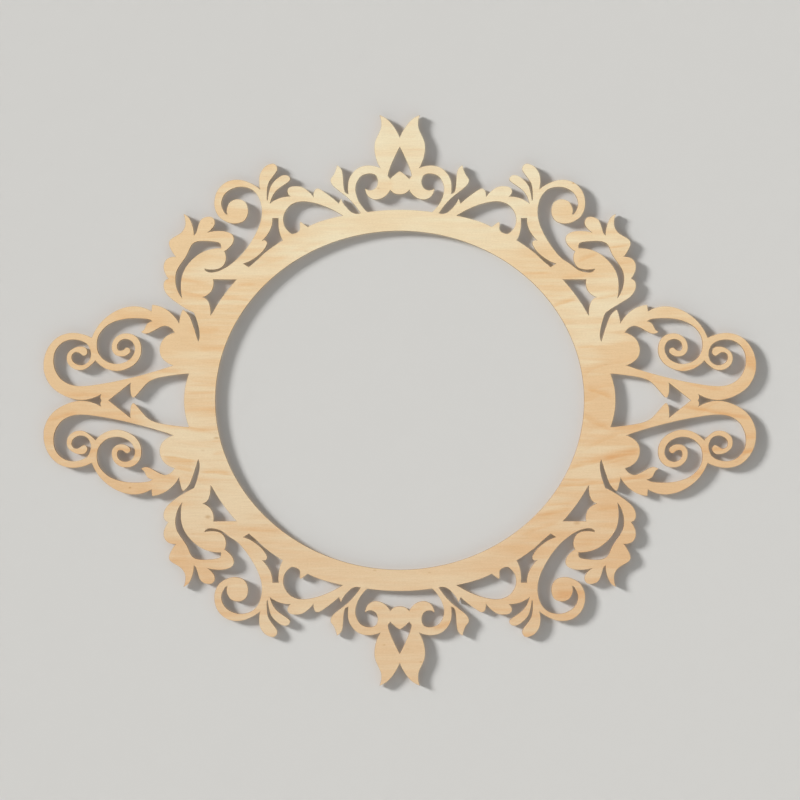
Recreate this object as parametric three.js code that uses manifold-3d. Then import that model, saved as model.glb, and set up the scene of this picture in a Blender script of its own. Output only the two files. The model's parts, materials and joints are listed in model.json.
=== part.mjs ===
// Oval picture frame in laser-cut plywood: a plain oval band round the picture opening, with scrolled
// acanthus fretwork at the top and bottom, at both sides and on the four shoulders.
//
// The frame is one sheet of three-ply birch. Three veneers are glued up with the grain of the middle one
// running across, and the laser then cuts all three along the same line, so each ply here is a sheet of
// raw veneer kept only inside that line.
//
// Millimetres, +Z up, the front facing -Y. The origin lies on the back face, in the middle of the band
// above the opening, where the frame is fixed to the wall.
import * as THREE from 'three';
import { mergeVertices } from 'three/addons/utils/BufferGeometryUtils.js';
import Module from 'manifold-3d';

// Picture opening
const OPENING_WIDTH = 236.2;
const OPENING_HEIGHT = 217;

// Oval band round the opening
const BAND_TOP = 13.5;
const BAND_SIDE = 17;
const SIDE_SWELL = 3; // how far the band swells out in the middle of each side
const SWELL_RADIUS = 48;

// Fretwork, measured outwards from where each group springs from the band
const CREST_HEIGHT = 60.6;
const SHOULDER_HEIGHT = 60.6;
const SHOULDER_ANGLE = THREE.MathUtils.degToRad(48.2);
const WING_REACH = 90;

// Sheet
const FACE_VENEER = 1.25;
const CORE_VENEER = 1.5;

// Curves are cut as straight facets: the most that one may stray from its curve, the most that the
// curve turns along it, how many make up a full oval, the steps that a curve is measured in, and the
// steps by which the limits tighten while the facets are evened out
const FACET_ERROR = 0.7;
const FACET_TURN = THREE.MathUtils.degToRad(45);
const OVAL_FACETS = 48;
const STEPS_PER_POINT = 24;
const EVENING_STEP = 0.05;
const MERGE_DISTANCE = 1e-5; // corners of a shape that lie nearer than this are one corner

const bandHalfWidth = OPENING_WIDTH / 2 + BAND_SIDE;
const bandHalfHeight = OPENING_HEIGHT / 2 + BAND_TOP;
const thickness = 2 * FACE_VENEER + CORE_VENEER;
const originHeight = OPENING_HEIGHT / 2 + BAND_TOP / 2;

// Ornaments are drawn for the upper right quarter of the frame, in millimetres from the point where
// their group springs from the band. Each row is one smooth edge that starts where the row before it
// ended. Rows meet in the sharp corners of the cut, and in a few places where an edge straightens or
// bends the other way.

const crestOrnaments = {
  petal: [
    [[-0.5, 41.2]],
    [[-0.5, 45.3]],
    [[0.9, 48], [4, 53.4], [8, 58], [12.9, 60.6]],
    [[11.7, 54.6], [13, 50.5], [15.2, 46], [16.3, 39.5], [15.3, 33.5], [12.1, 27.2], [10.5, 22]],
    [[10, 15]],
    [[6.1, 15]],
    [[6.1, 19.7]],
    [[7.7, 21.9]],
    [[5.8, 28]],
    [[4, 32], [2, 36], [0.6, 39.8], [-0.5, 41.2]],
  ],
  heart: [
    [[-0.5, 24.4]],
    [[0.5, 24.4]],
    [[2.5, 23.3], [4.4, 21.2], [6.1, 19.6]],
    [[9, 17]],
    [[6.1, 12.8]],
    [[4.8, 11.4], [3.2, 10.4], [0.5, 9.9]],
    [[-0.5, 9.9]],
  ],
  curl: [
    [[9, 26]],
    [[12.1, 27], [18, 28.3], [25, 27.6], [30.3, 23.5], [33, 18], [33.4, 13.5], [32.4, 9], [29, 5]],
    [[20, -8]],
    [[19.5, -3]],
    [[21.5, -1.1], [24, 1.8], [26, 5], [28, 9.7], [28.4, 14], [26.8, 19], [24, 22], [20, 23.2],
      [15.7, 22.3], [14, 18.5], [15.2, 14.2], [19, 12.4], [22.2, 13.9]],
    [[22, 11.8], [20, 8.5], [16, 6.6], [12, 7.2], [8.4, 9.4], [6.1, 12.8]],
    [[8, 17]],
  ],
  bud: [
    [[31, 9]],
    [[32.8, 9.6], [35.2, 11.8], [36.1, 16.5], [36.2, 22.5], [37.8, 26.6], [40.2, 28.5]],
    [[40.9, 27], [41, 24.2], [43.2, 21.8], [44.3, 19], [42.8, 15.3], [38.5, 11.5], [34, 8],
      [31, 5.6], [28, 1.9], [25.2, -1.7], [23.6, -4]],
    [[20, -5]],
  ],
};

const shoulderOrnaments = {
  branch: [
    [[-65, 22]],
    [[-65, 28.9]],
    [[-60.5, 28.9]],
    [[-57, 31.6], [-54, 35], [-52.5, 38.4]],
    [[-51.5, 36.4], [-51, 35]],
    [[-46, 39.2], [-41, 43.1], [-37.3, 44.7], [-35.3, 43.2], [-34.9, 39]],
    [[-31, 43.3], [-27.5, 45.6], [-23.5, 46.3], [-19, 45], [-18.2, 42.2], [-20.1, 39.5]],
    [[-15, 39.1], [-10, 37.1], [-7, 35.1]],
    [[-2, 30]],
    [[-6, -1]],
    [[-30, 13]],
  ],
  smallPetal: [
    [[-7, 35.1]],
    [[-8, 38.8], [-11, 43.2], [-15.5, 46.5], [-19, 48.7], [-19.9, 51], [-18.5, 52.9],
      [-16.3, 53.3], [-13.5, 52.4], [-10, 49.7], [-7.3, 45.8], [-5.8, 41], [-5.4, 37]],
    [[-4, 30]],
    [[-8, 32]],
  ],
  tallPetal: [
    [[-5.1, 36.8]],
    [[-4.8, 42], [-6.3, 48.7], [-9.8, 52.9], [-11.7, 57], [-10.5, 59.9], [-8.1, 60.6],
      [-4.3, 59], [-1.4, 56], [-0.2, 51.5], [-0.7, 44.1]],
    [[-1, 38]],
    [[-3, 30]],
  ],
  scroll: [
    [[-0.7, 44.1]],
    [[4, 47], [9, 49.5], [14, 50.3], [20, 49.2], [25.2, 45.4], [28.2, 39.5], [28.4, 32.5], [26, 27],
      [20, 23], [14, 22.3], [9, 24.6], [7, 30.3], [8.7, 35.8], [13.3, 37.8], [18.3, 36.2],
      [20.7, 31.5], [20.3, 28.2]],
    [[21.2, 28.2]],
    [[23.4, 31.5], [24.1, 36], [21.5, 41.6], [16, 45], [10.5, 45.7], [4.5, 43.9], [0.7, 39.8],
      [-1.7, 32], [-1.1, 24], [2.2, 15.8], [7.5, 7.3], [14.5, -0.9], [23.6, -7.1], [27.6, -8.8],
      [30.5, -9.2], [33, -8.7], [34.7, -7.4]],
    [[38, -10]],
    [[36, -41]],
    [[10, -15]],
    [[-6, -3]],
    [[-6, 36]],
  ],
  acanthus: [
    [[34.7, -6.7]],
    [[31.5, -6.6], [27.6, -7.1]],
    [[24.4, -6.2], [21.6, -2.4], [21.2, 2], [22.2, 4.5]],
    [[18, 7.8], [16.1, 12.3], [17.3, 15.3], [22, 17.3], [28, 17.2], [33.2, 16.5]],
    [[29.5, 19.5], [28.3, 23.5], [30, 26.2], [33.5, 26.5], [37.3, 24.5], [38.6, 20.5],
      [39.7, 16.7], [41.7, 14.8]],
    [[42.2, 18.5], [43.4, 23.3], [46, 27.2], [48.4, 28.4]],
    [[47.1, 23.5], [48, 18.8], [51.5, 15.1], [56, 12.9], [57.7, 9.5], [56, 5], [53.2, 1]],
    [[57, 0.7], [60.5, -2.5], [60.8, -8], [58, -13.1]],
    [[60.3, -14.3], [61.1, -18], [59.5, -22.5], [54, -27.1], [48, -31], [41.8, -34.7]],
    [[40.5, -39.5], [38.5, -45.5], [38.1, -49.5], [38.9, -53.1]],
    [[34, -61]],
    [[26, -45]],
    [[33, -14]],
    [[35, -9]],
  ],
};

const shoulderPiercings = {
  hoop: [
    [[-53.6, 27.3]],
    [[-46, 31.6], [-38, 34.7], [-29, 36.4], [-22, 35.2], [-17, 30.4], [-15.4, 24.2],
      [-17, 19.3], [-20.8, 15.7]],
    [[-25.8, 17.7]],
    [[-26.3, 19], [-26.2, 22.9]],
    [[-26.8, 23.3]],
    [[-29.5, 21.6], [-31.2, 20.1]],
    [[-39, 23.5], [-53.6, 27.3]],
  ],
  bell: [
    [[-12.5, 25.7]],
    [[-8.6, 25.7]],
    [[-8.4, 22], [-6.5, 17], [-2, 11.3]],
    [[-4.2, 11.3]],
    [[-5.2, 9.8]],
    [[-3.5, 6], [1, 1.5], [6, -1.9], [10.1, -3.4]],
    [[7.3, -4.6], [6.3, -5.8]],
    [[-4, 3.8], [-15.2, 11.5]],
    [[-13.4, 15.5], [-12.5, 20], [-12.5, 25.7]],
  ],
  crescent: [
    [[24.4, 6.4]],
    [[24.8, 9.2], [26.5, 10.2]],
    [[31, 10.7], [36, 11.1], [40.5, 10.4], [43.5, 8.2], [46.3, 2]],
    [[50, -3.7], [52.4, -7.2], [53.5, -13.5], [52.3, -20.2], [49.2, -25.6]],
    [[50, -18], [49, -10], [45, -3.2], [38, 3], [31, 5.8], [24.4, 6.4]],
  ],
  sail: [
    [[14.3, -13.6]],
    [[29.3, -13.5]],
    [[29.3, -18], [31.3, -22], [36.1, -24.9]],
    [[32.9, -27], [31.6, -31], [31.1, -36.6]],
    [[26, -28.9], [20, -20.8], [14.3, -13.6]],
  ],
};

const wingOrnaments = {
  root: [
    [[-9.1, 37.9]],
    [[-8, 41.3], [-6.8, 46], [-4.6, 52], [-1.6, 56.3], [0.7, 57.9], [2.2, 55.5], [3.1, 49.3]],
    [[8, 47]],
    [[6.1, 43.4]],
    [[12, 40.5], [15.5, 34], [14, 27], [6.9, 22.4]],
    [[0, 17]],
    [[-12, 17]],
    [[-14, 34]],
  ],
  branch: [
    [[3.1, 49.3]],
    [[7.5, 55], [13, 59.2], [20.4, 61.2]],
    [[20.8, 57]],
    [[27, 59.6], [33, 60.2], [41, 58.4], [49, 53.8], [55.2, 47.4], [59, 40]],
    [[58.5, 32]],
    [[56.8, 25.6]],
    [[53.5, 22.2], [49, 19.9], [44, 18.7], [37.5, 19.9], [31.5, 23.3], [28.2, 27.8], [27.3, 33],
      [28.7, 38.5], [32.5, 42], [38, 42.9], [43, 41], [46, 36.5], [46, 32], [43.5, 28.9],
      [39.5, 28.1], [36, 29.2], [34.3, 31.4], [35, 33.2], [37, 33.8], [39.3, 32]],
    [[41.5, 31.8], [42.8, 34], [41.5, 37.7], [37.5, 39.3], [33.5, 37.8], [31.5, 34], [32, 30],
      [35.5, 25.7], [41, 23.5], [46.5, 23.7], [51.5, 26.3], [54.8, 30.5], [55.7, 35.5], [54.8, 41],
      [50, 47.3], [42, 51.3], [32, 52.6], [24, 52.3], [20.2, 50.6]],
    [[23.3, 49.3], [24.8, 46], [27.6, 43.9]],
    [[26, 42.8], [22, 43.1], [17, 45.8], [12.5, 47.8], [9, 46.3], [6.1, 43.4]],
    [[2, 44]],
  ],
  arm: [
    [[59, 40]],
    [[64, 41.9], [70, 43.2], [77, 42.2], [82, 39.6], [86, 35.2], [88.7, 30], [90, 21.5],
      [89, 16], [86, 10.2], [82, 6], [77, 3.2], [71, 1], [66, 0.2], [62, 0.8], [53, 4]],
    [[53.6, 1.7], [52.4, -0.5]],
    [[49, -0.5]],
    [[45, 2], [40, 6], [34.2, 11.2]],
    [[33.9, 3.5]],
    [[32.7, 1.8], [30, 3.3], [26, 8], [23, 11.5]],
    [[19, 13.7], [12, 15.2], [5, 16.3], [-2.3, 17.2]],
    [[-4, 24]],
    [[6.9, 22.4]],
    [[12, 20.7], [19, 18.8], [28, 16.1], [37, 13.7], [46, 11.8], [54, 10.4], [62, 9.5],
      [68, 9.2], [72, 9.9], [76.5, 11.9], [80, 15], [82.5, 19.5], [83.5, 24], [83.5, 27],
      [82, 32.5], [79, 36], [75, 38.4], [71, 39], [66, 38.2], [62, 35.9], [60.3, 32.8],
      [59.6, 29], [60.8, 25.3], [63.5, 23], [67, 22.6], [70.5, 24.3], [72, 27.5], [71, 30],
      [68.3, 30.9], [67.3, 30], [65, 28.5], [62.5, 29.3], [61.8, 31.5], [63.6, 34], [67, 34.5],
      [71, 33.2], [74.3, 30.3], [75, 26.5], [74, 23], [70.5, 20.2], [66.8, 19.2], [62.5, 20.4],
      [58.5, 23.2], [56.8, 25.6]],
    [[55, 32]],
  ],
};

/** A finely divided curve as facets, each as long as the limits let it be. */
function faceted(fine, limits) {
  const kept = [fine[0]];
  let from = 0;
  for (let to = 2; to < fine.length; to += 1) {
    const chord = new THREE.Line3(fine[from], fine[to]);
    const strays = fine.slice(from + 1, to).some((point) =>
      chord.closestPointToPoint(point, true, new THREE.Vector3()).distanceTo(point) > limits.error);
    const start = fine[from + 1].clone().sub(fine[from]);
    const turn = fine[to].clone().sub(fine[to - 1]).angleTo(start);
    if (strays || turn > limits.turn) {
      from = to - 1;
      kept.push(fine[from]);
    }
  }
  return [...kept, fine[fine.length - 1]];
}

/** The fewest facets within the limits, shared out evenly: the limits tighten until one more is needed. */
function evenFacets(fine) {
  let best = faceted(fine, { error: FACET_ERROR, turn: FACET_TURN });
  for (let share = 1 - EVENING_STEP; share > EVENING_STEP; share -= EVENING_STEP) {
    const tighter = faceted(fine, { error: FACET_ERROR * share, turn: FACET_TURN * share });
    if (tighter.length > best.length) break;
    best = tighter;
  }
  return best;
}

/** One smooth edge through a row of points. */
function edge(points) {
  if (points.length === 2) return points;
  const curve = new THREE.CatmullRomCurve3(points.map(([x, z]) => new THREE.Vector3(x, z, 0)));
  return evenFacets(curve.getPoints(STEPS_PER_POINT * points.length)).map(({ x, y }) => [x, y]);
}

/** The closed outline of an ornament, from its rows of points. */
function outline(rows) {
  const points = [...rows[0]];
  for (const row of rows.slice(1)) {
    const corner = points[points.length - 1];
    points.push(...edge([corner, ...row]).slice(1));
  }
  return points;
}

/** An ellipse about the middle of the opening. */
function ellipse(halfWidth, halfHeight) {
  const shape = new THREE.Path();
  shape.absellipse(0, 0, halfWidth, halfHeight, 0, 2 * Math.PI);
  return shape.getPoints(OVAL_FACETS).slice(0, -1).map(({ x, y }) => [x, y]);
}

const wasm = await Module();
wasm.setup();

/** A three.js geometry as a solid that can be joined and cut. */
function solid(geometry) {
  geometry.deleteAttribute('normal');
  geometry.deleteAttribute('uv');
  const merged = mergeVertices(geometry, MERGE_DISTANCE);
  const mesh = new wasm.Mesh({
    numProp: 3,
    vertProperties: new Float32Array(merged.attributes.position.array),
    triVerts: new Uint32Array(merged.index.array),
  });
  return new wasm.Manifold(mesh);
}

/** A flat outline carried right through the sheet, and one thickness past each of its faces. */
function prism(points) {
  const shape = new THREE.Shape(points.map(([x, z]) => new THREE.Vector2(x, z)));
  const depth = thickness + thickness + thickness;
  const geometry = new THREE.ExtrudeGeometry(shape, { depth, bevelEnabled: false });
  geometry.rotateX(Math.PI / 2);
  geometry.translate(0, thickness, -originHeight);
  return solid(geometry);
}

/** Join a list of solids. */
function joined(solids) {
  return solids.reduce((whole, piece) => whole.add(piece));
}

/** The outlines of a group of ornaments, moved to where the group springs from the band. */
function placed(ornaments, root, size) {
  return Object.values(ornaments).map((rows) =>
    outline(rows).map(([x, z]) => [root.x + x * size, root.z + z * size]));
}

/** The same outlines in all four quarters of the frame. */
function inAllQuarters(outlines) {
  return [[1, 1], [-1, 1], [-1, -1], [1, -1]].flatMap(([across, up]) =>
    outlines.map((points) => points.map(([x, z]) => [x * across, z * up])));
}

/** The furthest that a group of ornaments reaches along one axis, as drawn. */
function reach(ornaments, axis) {
  return Math.max(...Object.values(ornaments).flat(2).map((point) => point[axis]));
}

/** The line that the laser follows, as a solid through the whole sheet. */
function cutOut() {
  const band = prism(ellipse(bandHalfWidth, bandHalfHeight));
  const opening = prism(ellipse(OPENING_WIDTH / 2, OPENING_HEIGHT / 2));
  const swellCentre = bandHalfWidth + SIDE_SWELL - SWELL_RADIUS;
  const swell = ellipse(SWELL_RADIUS, SWELL_RADIUS).map(([x, z]) => [x + swellCentre, z]);
  const swells = [swell, swell.map(([x, z]) => [-x, z])];

  const crestRoot = { x: 0, z: bandHalfHeight };
  const crest = placed(crestOrnaments, crestRoot, CREST_HEIGHT / reach(crestOrnaments, 1));

  const shoulderRoot = {
    x: bandHalfWidth * Math.cos(SHOULDER_ANGLE),
    z: bandHalfHeight * Math.sin(SHOULDER_ANGLE),
  };
  const shoulderSize = SHOULDER_HEIGHT / reach(shoulderOrnaments, 1);
  const shoulder = placed(shoulderOrnaments, shoulderRoot, shoulderSize);
  const piercings = placed(shoulderPiercings, shoulderRoot, shoulderSize);

  const wingRoot = { x: bandHalfWidth + SIDE_SWELL, z: 0 };
  const wing = placed(wingOrnaments, wingRoot, WING_REACH / reach(wingOrnaments, 0));

  const shoulders = joined(inAllQuarters(shoulder).map(prism))
    .subtract(joined(inAllQuarters(piercings).map(prism)));
  const scrolls = joined(inAllQuarters([...crest, ...wing]).map(prism));
  return joined([band, ...swells.map(prism), shoulders, scrolls]).subtract(opening);
}

/** One veneer of a sheet that is larger than the cut all round, kept inside the cut line only. */
function ply(cut, back, veneer) {
  const { min, max } = cut.boundingBox();
  const width = max[0] - min[0] + 2 * thickness;
  const height = max[2] - min[2] + 2 * thickness;
  const sheet = new THREE.BoxGeometry(width, veneer, height);
  sheet.translate((min[0] + max[0]) / 2, -back - veneer / 2, (min[2] + max[2]) / 2);
  const mesh = solid(sheet).intersect(cut).getMesh();
  const geometry = new THREE.BufferGeometry();
  geometry.setAttribute('position', new THREE.BufferAttribute(mesh.vertProperties, 3));
  geometry.setIndex(new THREE.BufferAttribute(mesh.triVerts, 1));
  return geometry;
}

const birchFace = new THREE.MeshStandardMaterial({ color: 0xe4c9a2, roughness: 0.62, metalness: 0 });
const birchCore = new THREE.MeshStandardMaterial({ color: 0x8a5a34, roughness: 0.75, metalness: 0 });

const frame = new THREE.Group();
const cut = cutOut();
const plies = [
  ['back_face_veneer', 0, FACE_VENEER, birchFace],
  ['cross_grain_core', FACE_VENEER, CORE_VENEER, birchCore],
  ['front_face_veneer', FACE_VENEER + CORE_VENEER, FACE_VENEER, birchFace],
];
for (const [name, back, veneer, material] of plies) {
  const mesh = new THREE.Mesh(ply(cut, back, veneer), material);
  mesh.name = name;
  frame.add(mesh);
}

export default frame;
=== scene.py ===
"""Oval picture frame in laser-cut birch plywood: the finish, the stage, the light and the camera.

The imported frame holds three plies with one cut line. Each ply is made again here as a plate whose
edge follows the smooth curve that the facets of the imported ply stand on, with a fine arris, a
birch face and a laser-toasted edge.

Metres, +Z up, the front facing -Y. The origin is the middle of the band above the opening.
"""

from __future__ import annotations

import json
import logging
import math
from dataclasses import astuple, dataclass, field
from enum import Enum

import bpy
import numpy as np
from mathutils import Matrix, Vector
from mathutils.geometry import delaunay_2d_cdt

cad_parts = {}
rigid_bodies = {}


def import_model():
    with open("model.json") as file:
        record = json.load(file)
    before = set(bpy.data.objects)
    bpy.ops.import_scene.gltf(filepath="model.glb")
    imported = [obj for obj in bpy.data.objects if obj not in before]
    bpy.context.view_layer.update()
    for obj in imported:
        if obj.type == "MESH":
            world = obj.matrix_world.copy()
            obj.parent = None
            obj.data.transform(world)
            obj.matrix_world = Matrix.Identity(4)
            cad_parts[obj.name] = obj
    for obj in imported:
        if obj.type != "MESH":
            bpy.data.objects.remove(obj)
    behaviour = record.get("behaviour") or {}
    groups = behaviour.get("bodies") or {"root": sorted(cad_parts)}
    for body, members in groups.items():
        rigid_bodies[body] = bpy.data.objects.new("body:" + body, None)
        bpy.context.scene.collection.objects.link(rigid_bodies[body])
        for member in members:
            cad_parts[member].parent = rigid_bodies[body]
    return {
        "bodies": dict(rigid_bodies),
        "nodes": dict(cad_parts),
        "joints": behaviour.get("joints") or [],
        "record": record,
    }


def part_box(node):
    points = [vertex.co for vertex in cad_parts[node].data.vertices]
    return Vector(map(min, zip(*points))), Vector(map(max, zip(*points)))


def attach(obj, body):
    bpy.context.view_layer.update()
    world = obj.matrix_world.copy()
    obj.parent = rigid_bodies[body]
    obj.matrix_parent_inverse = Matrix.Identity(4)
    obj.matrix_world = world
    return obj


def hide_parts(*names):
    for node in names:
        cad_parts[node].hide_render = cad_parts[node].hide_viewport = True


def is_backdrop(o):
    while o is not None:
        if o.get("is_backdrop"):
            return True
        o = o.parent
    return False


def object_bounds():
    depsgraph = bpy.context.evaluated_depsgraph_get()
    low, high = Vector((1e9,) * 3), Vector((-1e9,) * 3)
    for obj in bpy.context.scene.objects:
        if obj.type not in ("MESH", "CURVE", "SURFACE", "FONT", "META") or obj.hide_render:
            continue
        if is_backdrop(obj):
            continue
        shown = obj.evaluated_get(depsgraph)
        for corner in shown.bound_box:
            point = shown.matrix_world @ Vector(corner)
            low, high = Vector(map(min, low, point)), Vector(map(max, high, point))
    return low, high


log = logging.getLogger("picture_frame")

MM = 0.001

Pair = tuple[float, float]
Triple = tuple[float, float, float]
Rgba = tuple[float, float, float, float]


class Grain(Enum):
    """Which way the fibres of a ply run."""

    LENGTHWISE = 0
    UPRIGHT = 1


@dataclass(frozen=True)
class CornerRule:
    """Tells the sharp corners of a cut line from the joints between the facets of a curve.

    A facet strays from its curve by `stray` at most, and turns with it by twice `half_turn` at
    most. Half the turn of a flat arc is four times its height over its length, so each of the two
    facets that meet at a joint adds no more than that to the joint's own turn. A point that turns
    more, by `margin`, is sharp, unless the next point turns almost as much the same way, as in a
    tight scroll, or it turns by more than `surely`.
    """

    stray: float = 0.7 * MM
    half_turn: float = math.radians(22.5)
    margin: float = 1.15
    beside: float = 1.5
    surely: float = math.radians(68)


@dataclass
class CutLine:
    """Closed loops in the plane of the sheet, one after the other, with the wood on their left.

    Seen from the front, the outer rim runs anticlockwise and each piercing clockwise. `before` and
    `after` give each point's neighbours, so that a whole set of loops is worked out at once.
    """

    points: np.ndarray
    before: np.ndarray
    after: np.ndarray

    @classmethod
    def from_node(cls, node: bpy.types.Object) -> CutLine:
        """Finds the rim of a packed ply.

        The rim is every edge of the ply's front face that only one triangle uses. Each such edge
        says which point comes next, and doubling the steps along that rule finds each loop's first
        point and each point's place after it in a few whole-array passes.

        Args:
            node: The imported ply, with its front face towards -Y.

        Returns:
            The rim's loops, in metres.
        """
        near_front = 0.1 * MM
        grid = 0.01 * MM
        mesh = node.data
        mesh.calc_loop_triangles()
        corner = np.empty(len(mesh.vertices) * 3)
        mesh.vertices.foreach_get("co", corner)
        corner = corner.reshape(-1, 3)
        triangle = np.empty(len(mesh.loop_triangles) * 3, np.int64)
        mesh.loop_triangles.foreach_get("vertices", triangle)
        triangle = triangle.reshape(-1, 3)

        front = corner[:, 1] < corner[:, 1].min() + near_front
        triangle = triangle[front[triangle].all(axis=1)]
        place = np.round(corner[:, [0, 2]] / grid).astype(np.int64)
        place, same = np.unique(place, axis=0, return_inverse=True)
        triangle = same.reshape(-1)[triangle]

        start = triangle.ravel()
        end = np.roll(triangle, -1, axis=1).ravel()
        count = len(place)
        rim = ~np.isin(start * count + end, end * count + start)
        used = np.unique(start[rim])
        step = np.searchsorted(used, end[rim][np.argsort(start[rim])])

        first = np.arange(len(used))
        jump = step.copy()
        passes = math.ceil(math.log2(len(used))) + 1
        for _ in range(passes):
            first = np.minimum(first, first[jump])
            jump = jump[jump]
        own = first == np.arange(len(used))
        left = np.where(own, 0, 1)
        jump = np.where(own, np.arange(len(used)), step)
        for _ in range(passes):
            left = left + left[jump]
            jump = jump[jump]
        order = np.lexsort((np.where(own, -len(used), -left), first))

        return cls._closed(place[used[order]] * grid, first[order])

    @classmethod
    def _closed(cls, points: np.ndarray, loop: np.ndarray) -> CutLine:
        """Links points that stand in loop order.

        Args:
            points: The points, loop after loop.
            loop: A number for each point that is the same all round its loop.

        Returns:
            The linked loops.
        """
        index = np.arange(len(points))
        starts = np.flatnonzero(np.r_[True, loop[1:] != loop[:-1]])
        ends = np.r_[starts[1:], len(points)] - 1
        before = index - 1
        before[starts] = ends
        after = index + 1
        after[ends] = starts
        return cls(points, before, after)

    def turn(self) -> np.ndarray:
        """Returns how far the line turns at each point, in radians, positive to the left."""
        arriving = self.points - self.points[self.before]
        leaving = self.points[self.after] - self.points
        cross = arriving[:, 0] * leaving[:, 1] - arriving[:, 1] * leaving[:, 0]
        return np.arctan2(cross, (arriving * leaving).sum(axis=1))

    def sharp(self, rule: CornerRule) -> np.ndarray:
        """Finds the points that are sharp corners.

        Args:
            rule: What makes a point sharp.

        Returns:
            True for each sharp point.
        """
        turn = self.turn()
        size = np.abs(turn)
        length = np.linalg.norm(self.points[self.after] - self.points, axis=1)
        share = np.minimum(rule.half_turn, 4 * rule.stray / length)
        bend = rule.margin * (share + share[self.before])
        sides = (self.before, self.after)
        near = [np.where(turn[side] * turn > 0, size[side], 0) for side in sides]
        alone = size > rule.beside * np.maximum(*near)
        return (size > rule.surely) | ((size > bend) & alone)

    def smoothed(self, rule: CornerRule, spacing: float) -> CutLine:
        """Puts the curve back that the facets stand on.

        Each facet becomes a cubic from one of its ends to the other. Its slopes there come from
        the neighbouring points, weighted by the square roots of the distances between them, the
        centripetal rule. At a sharp corner there is no neighbour, so the facet's far neighbour is
        mirrored across the middle of the facet instead, which carries the bend on to the corner.

        Args:
            rule: What makes a point a sharp corner.
            spacing: The longest step along the smooth line, in metres.

        Returns:
            The smooth loops.
        """
        a = self.points
        b = a[self.after]
        sharp = self.sharp(rule)
        sharp_a = sharp[:, None]
        sharp_b = sharp[self.after][:, None]
        chord = b - a
        middle = (a + b) / 2
        squared = (chord**2).sum(axis=1, keepdims=True)

        def mirrored(point: np.ndarray) -> np.ndarray:
            along = ((point - middle) * chord).sum(axis=1, keepdims=True) / squared
            return point - 2 * along * chord

        outer_a = a[self.before]
        outer_b = a[self.after[self.after]]
        behind = np.where(sharp_a, mirrored(outer_b), outer_a)
        ahead = np.where(sharp_b, mirrored(outer_a), outer_b)
        straight = sharp_a & sharp_b
        behind = np.where(straight, a - chord, behind)
        ahead = np.where(straight, b + chord, ahead)

        def root_distance(p: np.ndarray, q: np.ndarray) -> np.ndarray:
            return np.sqrt(np.linalg.norm(q - p, axis=1, keepdims=True))

        t0 = root_distance(behind, a)
        t1 = root_distance(a, b)
        t2 = root_distance(b, ahead)
        slope_a = ((a - behind) / t0 - (b - behind) / (t0 + t1) + chord / t1) * t1
        slope_b = (chord / t1 - (ahead - a) / (t1 + t2) + (ahead - b) / t2) * t1

        steps = np.ceil(np.sqrt(squared[:, 0]) / spacing).astype(np.int64)
        facet = np.repeat(np.arange(len(a)), steps)
        first = np.cumsum(steps) - steps
        t = ((np.arange(len(facet)) - first[facet]) / steps[facet])[:, None]
        points = (
            (2 * t**3 - 3 * t**2 + 1) * a[facet]
            + (t**3 - 2 * t**2 + t) * slope_a[facet]
            + (3 * t**2 - 2 * t**3) * b[facet]
            + (t**3 - t**2) * slope_b[facet]
        )
        loop = np.cumsum(self.before > np.arange(len(a)))
        return self._closed(points, loop[facet])

    def inwards(self) -> np.ndarray:
        """Returns the way into the wood at each point, longer where two edges meet at an angle.

        The way in is the sum of the two edges' left-hand normals, scaled so that a step of one
        moves both edges in by one, and held to a limit at the sharpest tips.
        """
        longest = 2.2
        tiny = 1e-6
        leaving = self.points[self.after] - self.points
        leaving /= np.linalg.norm(leaving, axis=1, keepdims=True)
        arriving = leaving[self.before]
        normal = np.stack((-leaving[:, 1], leaving[:, 0]), axis=1)
        normal += np.stack((-arriving[:, 1], arriving[:, 0]), axis=1)
        length = np.maximum(np.linalg.norm(normal, axis=1, keepdims=True), tiny)
        return normal / length * np.minimum(2 / length, longest)

    def run(self) -> np.ndarray:
        """Returns the distance along the line at each point, from the first point of all."""
        step = np.linalg.norm(self.points[self.after] - self.points, axis=1)
        return np.cumsum(step) - step


@dataclass(frozen=True)
class FaceMesh:
    """The triangles of the sheet's flat face, as indices into the points of a cut line."""

    triangles: np.ndarray

    @classmethod
    def inside(cls, line: CutLine, points: np.ndarray) -> FaceMesh:
        """Fills the wood between the outer rim and the piercings.

        Every loop is filled with triangles. Wood lies inside the outer rim alone, and a triangle
        in a piercing lies inside two loops, so only the triangles inside one loop are kept.

        Args:
            line: The loops that bound the wood.
            points: Where the loops' points lie on this face.

        Returns:
            The triangles, facing the front.
        """
        inside_a_loop = 1
        merge_distance = 1e-9
        starts = np.flatnonzero(line.before > np.arange(len(points)))
        across = points[:, 0] * points[line.after, 1] - points[:, 1] * points[line.after, 0]
        turns = np.add.reduceat(across, starts)
        loops = [
            loop.tolist() if area > 0 else loop[::-1].tolist()
            for loop, area in zip(np.split(np.arange(len(points)), starts[1:]), turns)
        ]
        corners = [Vector(point) for point in points]
        made = delaunay_2d_cdt(corners, [], loops, inside_a_loop, merge_distance, True)
        filled, triangles, loops_around = made[0], made[2], made[5]
        if len(filled) != len(points):
            raise RuntimeError("the cut line crosses itself, so the face has points of its own")
        in_wood = np.array([len(around) == 1 for around in loops_around])
        return cls(np.array(triangles, np.int64)[in_wood])


@dataclass(frozen=True)
class Lumps:
    """A layer of noise: its lumps' size along X, Y and Z in millimetres, and its share of the sum.

    `detail` is how many finer layers lie on the lumps, and `warp` how much they are pushed about.
    """

    x: float
    y: float
    z: float
    share: float = 1.0
    detail: float = 2.0
    warp: float = 0.0


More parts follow.
